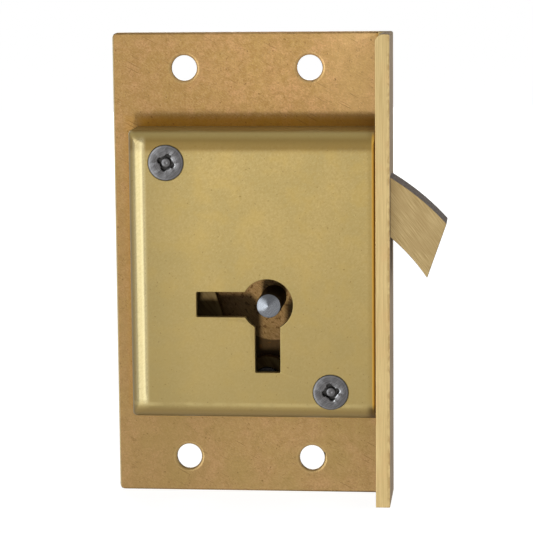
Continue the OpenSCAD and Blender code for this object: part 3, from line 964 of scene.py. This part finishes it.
def make_hook_slot():
    shape = bmesh.new()
    inner, outer = (arc(*PIVOT, r, *SLOT_TURN, SLOT_STEPS) for r in SLOT_R)
    tube(shape, [level_ring(shape, inner + outer[::-1], depth) for depth in SLOT_DEPTH])
    return to_mesh(shape, "hook_slot")


forend_mesh = carve(make_forend(), make_hook_slot())
forend = add_piece("forend_bar", forend_mesh, forend_brass, "case", "forend_brass", "forend")
forend.data.set_sharp_from_angle(angle=SHARP)
even_normals(forend)

# %% [markdown]
# ## Cover: the bent sheet
#
# The cover is one sheet bent down on three sides, with its two corners closed and filed smooth, the
# lower one more than the upper one. Lofting rings round those three sides gives true bends: each ring
# is the outline moved inwards by as much as the bend has come round.

# %% Cover: the bent sheet
BEND_STEPS, CORNER_STEPS, EASE_STEPS = 12, 5, 4
CORNER_SWELL = (0.5, 0.15)


def bend_profile(thick):
    """How far in and how deep the sheet lies, from its foot to the flat."""
    r, depth = BEND - thick, COVER["depth"] - thick
    turns = [math.pi / 2 * i / BEND_STEPS for i in range(BEND_STEPS + 1)]
    return [(thick, 0.0)] + [(thick + r * (1 - math.cos(a)), depth - r + r * math.sin(a)) for a in turns]


def eased_end(depth):
    """Where the free end lies at a depth: its upper edge is rounded over."""
    into = depth - (COVER["depth"] - EASE)
    return COVER["right"] - (EASE - math.sqrt(max(EASE ** 2 - into ** 2, 0)) if into > 0 else 0)


def side_path(inset, end, corner):
    """The outline of three sides, from the free end along the bottom, the left and the top."""
    x0, z0, z1 = COVER["left"] + inset, COVER["low"] + inset, COVER["high"] - inset
    points = [(end, z0)]
    for edge, way, first, swell in zip((z0, z1), (1, -1), (270, 180), CORNER_SWELL):
        r = corner + swell * inset
        points += arc(x0 + r, edge + way * r, r, first, first - 90, CORNER_STEPS)
    return points + [(end, z1)]


print("bend rings:", len(bend_profile(0)))

# %% [markdown]
# ## Cover: the keyhole
#
# The keyhole is a round hole for the drill pin with two slots for the key's bit, one to the side and
# one down. One outline that walks round all of it can be grown a little for each ring of its rounded
# rim, and three cuts by a boolean could not.

# %% Cover: the keyhole
KEYHOLE = (3.98, -5.14)
KEY_R, SLOT_HALF, SLOT_SIDE, SLOT_DOWN, SLOT_FILLET = 4.12, 2.03, 11.45, 11.05, 0.22
KEY_EASE, KEY_EASE_STEPS = 0.12, 3
BOW_STEPS, ELBOW_STEPS, FILLET_STEPS = 60, 14, 4


def angle_of(x, z):
    return math.degrees(math.atan2(z, x))


def fillet(cx, cz, first):
    """A quarter turn at a slot's corner."""
    return arc(cx, cz, SLOT_FILLET, first, first + 90, FILLET_STEPS)


def key_outline(grow):
    """The keyhole, counter-clockwise, grown by a rounding at its rim."""
    r, half, f = KEY_R + grow, SLOT_HALF + grow, SLOT_FILLET
    side, down = SLOT_SIDE + grow, SLOT_DOWN + grow
    reach = math.sqrt(r * r - half * half)
    bow = arc(0, 0, r, angle_of(half, -reach), angle_of(-reach, half), BOW_STEPS)
    arm = fillet(f - side, half - f, 90) + fillet(f - side, f - half, 180)
    elbow = arc(0, 0, r, angle_of(-reach, -half), angle_of(-half, -reach), ELBOW_STEPS)
    foot = fillet(f - half, f - down, 180) + fillet(half - f, f - down, 270)
    return [(KEYHOLE[0] + x, KEYHOLE[1] + z) for x, z in bow + arm + elbow + foot]


print("keyhole points:", len(key_outline(0)))

# %% [markdown]
# ## Cover: put together
#
# One set of rings is the outside, and a second set, one sheet thickness in, is the inside. The free
# end, the keyhole's wall and the two flat faces close the skin between them. The screws' seats are
# cones, which are cut away last.

# %% Cover: put together
SCREW_R, HEAD_GAP = 1.5, 0.1


def make_cover():
    shape = bmesh.new()
    depth, under = COVER["depth"], COVER["depth"] - SHEET
    outer = [level_ring(shape, side_path(d, eased_end(y), CORNER), y) for d, y in bend_profile(0)]
    inner = [level_ring(shape, side_path(d, COVER["right"], CORNER / 2), y) for d, y in bend_profile(SHEET)]
    for rings in (outer, inner, (outer[0], inner[0])):
        skin(shape, rings, closed=False)
    # the free end: rounded over outside, then a plain cut face
    lines = [[r[0] for r in outer] + [r[-1] for r in reversed(outer)]]
    for j in range(1, EASE_STEPS + 1):
        top_depth = depth - EASE + EASE * math.cos(math.pi / 2 * j / EASE_STEPS)
        spots = [(min(-v.co.y / MM, top_depth), v.co.z / MM) for v in lines[0]]
        lines.append(ring(shape, [(eased_end(y), y, z) for y, z in spots]))
    lines.append([r[0] for r in inner] + [r[-1] for r in reversed(inner)])
    skin(shape, lines, closed=False)
    # the keyhole, with its rim rounded over
    wall = []
    for i in range(KEY_EASE_STEPS + 1):
        a = math.pi / 2 * i / KEY_EASE_STEPS
        rim = key_outline(KEY_EASE * (1 - math.sin(a)))
        wall.append(level_ring(shape, rim, depth - KEY_EASE * (1 - math.cos(a))))
    wall.append(level_ring(shape, key_outline(0), under))
    skin(shape, wall)
    cap(shape, outer[-1], wall[0])
    cap(shape, inner[-1], wall[-1])
    return to_mesh(shape, "bent_cover")


def make_countersinks():
    """Two cones, a little wider than the heads, that reach through the sheet."""
    shape = bmesh.new()
    deep, head, neck = COVER["depth"] - (HEAD_R - SCREW_R), HEAD_R + HEAD_GAP, SCREW_R + HEAD_GAP
    profile = ((neck, deep - 1), (neck, deep), (head, COVER["depth"]), (head, COVER["depth"] + 1))
    for x, z in SCREWS:
        tube(shape, [level_ring(shape, circle(x, z, r), y) for r, y in profile])
    return to_mesh(shape, "countersinks")


cover_mesh = carve(make_cover(), make_countersinks())
cover = add_piece("bent_cover", cover_mesh, cover_brass, "case", "cover_brass", "cover")
cover.data.set_sharp_from_angle(angle=SHARP)
even_normals(cover)

# %% [markdown]
# ## Cover screws
#
# Two countersunk screws hold the cover. Their drive is a four-lobed recess round a standing pin, and
# its rim is turned over by use. The lobed outline is simplest in polar form: at each angle, the
# farther of a circle and a lobe. The profiles give a radius, or a growth, at each depth.

# %% Cover screws
HEAD_SEAT, SCREW_END = 8.15, 2.8
LOBES, LOBE_AT, LOBE_R, CORE_R, DRIVE_PIN_R = 4, 0.97, 0.44, 1.02, 0.72
RECESS_FLOOR, PIN_TOP = 8.55, 9.44
SCREW_TURNS = (70, 12)
RECESS_STEPS, DRIVE_PIN_STEPS = 180, 48
HEAD_PROFILE = ((HEAD_R - 0.10, HEAD_TOP), (HEAD_R - 0.03, HEAD_TOP - 0.03), (HEAD_R, HEAD_TOP - 0.10),
                (SCREW_R, HEAD_SEAT), (SCREW_R, SCREW_END))
RECESS_PROFILE = ((0.24, HEAD_TOP), (0.10, HEAD_TOP - 0.07), (0, HEAD_TOP - 0.20), (0, RECESS_FLOOR))
DRIVE_PIN_PROFILE = ((DRIVE_PIN_R, RECESS_FLOOR), (DRIVE_PIN_R, PIN_TOP - 0.08), (0.62, PIN_TOP),
                     (0.30, PIN_TOP + 0.05), (0.14, PIN_TOP + 0.02), (0.05, PIN_TOP - 0.02))


def lobed(x, z, turn, grow):
    """The recess outline about a screw's axis."""
    points = []
    for i in range(RECESS_STEPS):
        a = math.radians(360 / RECESS_STEPS * i)
        swing = (math.degrees(a) - turn + 180 / LOBES) % (360 / LOBES) - 180 / LOBES
        off = LOBE_AT * math.sin(math.radians(swing))
        lobe = LOBE_AT * math.cos(math.radians(swing)) + math.sqrt(max(LOBE_R ** 2 - off ** 2, 0))
        r = max(lobe if abs(off) < LOBE_R else 0, CORE_R) + grow
        points.append((x + r * math.cos(a), z + r * math.sin(a)))
    return points


def make_screws():
    shape = bmesh.new()
    for (x, z), turn in zip(SCREWS, SCREW_TURNS):
        head = [level_ring(shape, circle(x, z, r), y) for r, y in HEAD_PROFILE]
        recess = [level_ring(shape, lobed(x, z, turn, grow), y) for grow, y in RECESS_PROFILE]
        drive = [level_ring(shape, circle(x, z, r, DRIVE_PIN_STEPS), y) for r, y in DRIVE_PIN_PROFILE]
        for rings in (head, recess, drive):
            skin(shape, rings)
        cap(shape, head[0], recess[0])
        cap(shape, recess[-1], drive[0])
        cap(shape, drive[-1])
        cap(shape, head[-1])
    return to_mesh(shape, "security_screws")


screws = add_piece("security_screws", make_screws(), screw_steel, "case", "screw_steel", "cover_screws")
screws.data.set_sharp_from_angle(angle=SHARP)
even_normals(screws)

# %% [markdown]
# ## Drill pin
#
# The hollow key slides over this pin. It is a turned bar with a blunt cone at its end, and a thinner
# spigot that is riveted through the plate. A turned piece is one profile carried round its axis.

# %% Drill pin
PIN_PROFILE = ((1.45, -2.4), (1.6, -2.25), (1.6, 0.0), (2.0, 0.0), (2.0, 7.0), (1.92, 8.6), (1.92, 9.52),
               (1.89, 9.58), (1.83, 9.63), (0.9, 9.96), (0.12, 10.21), (0.03, 10.24))


def make_drill_pin():
    shape = bmesh.new()
    tube(shape, [level_ring(shape, circle(*KEY, r), y) for r, y in PIN_PROFILE])
    return to_mesh(shape, "turned_pin")


pin = add_piece("turned_pin", make_drill_pin(), pin_steel, "case", "pin_steel", "drill_pin")
pin.data.set_sharp_from_angle(angle=SHARP)

# %% [markdown]
# ## Leaf springs
#
# Each lever carries a thin steel leaf that presses up against a fixed pin. When the lever lifts, the
# leaf's root goes with it and its tip stays on the pin. Here each leaf is a copy of its imported solid,
# with its place baked into the mesh, and the imported leaf is hidden.


def bend_leaf(lever):
    """A copy of a lever's packed leaf, with its place baked into the mesh."""
    node = "lever_spring_" + lever[-1]
    mesh = nodes[node].data.copy()
    mesh.shade_smooth()
    mesh.set_sharp_from_angle(angle=SHARP)
    leaf = bpy.data.objects.new("bent_leaf_" + lever[-1], mesh)
    bpy.context.scene.collection.objects.link(leaf)
    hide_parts(node)
    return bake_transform(leaf)


leaves = [bend_leaf(body) for body in frame["bodies"] if body.startswith("lever")]
print("leaves:", len(leaves))

# %% [markdown]
# ## World
#
# The photograph stands on plain white. A brighter world would give that too, but it would bleach the
# brass. So this one only looks white, to the camera and to the metal that mirrors it, and it lights the
# lock at a plain level.

# %% World
WORLD_LEVEL = 0.2
WHITE = (1, 1, 1, 1)


def white_to_eye(start, plain):
    """1 for camera, glossy and transmission rays, where the background looks white."""
    camera_ray, glossy_ray, through_ray = (
        start.node("ShaderNodeLightPath", out=kind)
        for kind in ("Is Camera Ray", "Is Glossy Ray", "Is Transmission Ray"))
    return plain + (1.0 - plain) * camera_ray.larger(glossy_ray).larger(through_ray)


world = bpy.data.worlds.new("studio")
bpy.context.scene.world = world
world.use_nodes = True
world.node_tree.nodes.clear()
sky = Val(world.node_tree)
backdrop = sky.node("ShaderNodeBackground", None,
                    {"Color": WHITE, "Strength": white_to_eye(sky, WORLD_LEVEL)})
sky.node("ShaderNodeOutputWorld", None, {"Surface": backdrop})
print("world level", WORLD_LEVEL)

# %% [markdown]
# ## Floor
#
# The floor looks white in the same way: a grey that glows to the eye, so that it still takes a soft
# shadow, and a plain pale paint to all other light. It lets the lamp below it shine through.

# %% Floor
FLOOR_HALF, FLOOR_GAP, FLOOR_GLOW = 3.0, 0.02, 0.94
PALE, GREY = (0.9, 0.9, 0.9, 1), (0.3, 0.3, 0.3, 1)

floor_z = cad_box[0][2] - FLOOR_GAP * MM
floor_mesh = bpy.data.meshes.new("floor")
floor_mesh.from_pydata([(sx * FLOOR_HALF, sy * FLOOR_HALF, floor_z) for sx, sy in
                        ((-1, -1), (1, -1), (1, 1), (-1, 1))], [], [(0, 1, 2, 3)])
floor = bpy.data.objects.new("floor", floor_mesh)
bpy.context.scene.collection.objects.link(floor)
floor.visible_shadow = floor.visible_glossy = False

floor_paint = bpy.data.materials.new("floor_paint")
floor_paint.use_nodes = True
floor_paint.node_tree.nodes.clear()
base = Val(floor_paint.node_tree)
matt = base.node("ShaderNodeBsdfDiffuse", None, {"Color": PALE})
shade = base.node("ShaderNodeBsdfDiffuse", None, {"Color": GREY})
glow = base.node("ShaderNodeEmission", None, {"Color": WHITE, "Strength": FLOOR_GLOW})
pale = base.node("ShaderNodeAddShader", None, {0: shade, 1: glow})
surface = base.node("ShaderNodeMixShader", None, {0: white_to_eye(base, 0.0), 1: matt, 2: pale})
base.node("ShaderNodeOutputMaterial", None, {"Surface": surface})
floor_mesh.materials.append(floor_paint)
print("floor at", round(floor_z / MM, 2), "mm")

# %% [markdown]
# ## Lamps
#
# The photograph is lit from in front and a little below, which throws the cover's shadow up the plate.
# A tall soft lamp at the left is only there for the metal to mirror, and two weaker ones stand at the
# right side and behind, so that the forend's outer face and the back can be seen.


# %% Lamps
def soft_lamp(name, place, size, watts):
    """A flat lamp that looks at the lock."""
    lamp = bpy.data.lights.new(name, "AREA")
    lamp.shape, lamp.size, lamp.size_y, lamp.energy = "RECTANGLE", size[0], size[1], watts
    made = bpy.data.objects.new(name, lamp)
    bpy.context.scene.collection.objects.link(made)
    made.location = place
    made.rotation_euler = (Vector((0, 0, 0)) - Vector(place)).to_track_quat("-Z", "Y").to_euler()
    made.visible_camera = False
    return made


front = soft_lamp("front_low", (0.0, -0.68, -0.181), (0.07, 0.07), 4.0)
front.visible_glossy = False
side = soft_lamp("left_side", (-0.42, -0.468, -0.02), (0.61, 0.72), 4.0)
side.data.color = (0.9, 0.96, 1.0)
side.visible_diffuse = False
soft_lamp("right_side", (0.72, 0.12, 0.1), (0.5, 0.6), 2.4)
soft_lamp("behind", (-0.15, 0.75, 0.25), (0.6, 0.6), 4.5)

view = bpy.context.scene.view_settings
view.view_transform = "Standard"

# %% [markdown]
# ## Sizes
#
# Dressing must not change how big the lock is. The box of the imported solids is measured at the start,
# as cad_box.

# %% Sizes and finish
print("boxes written")
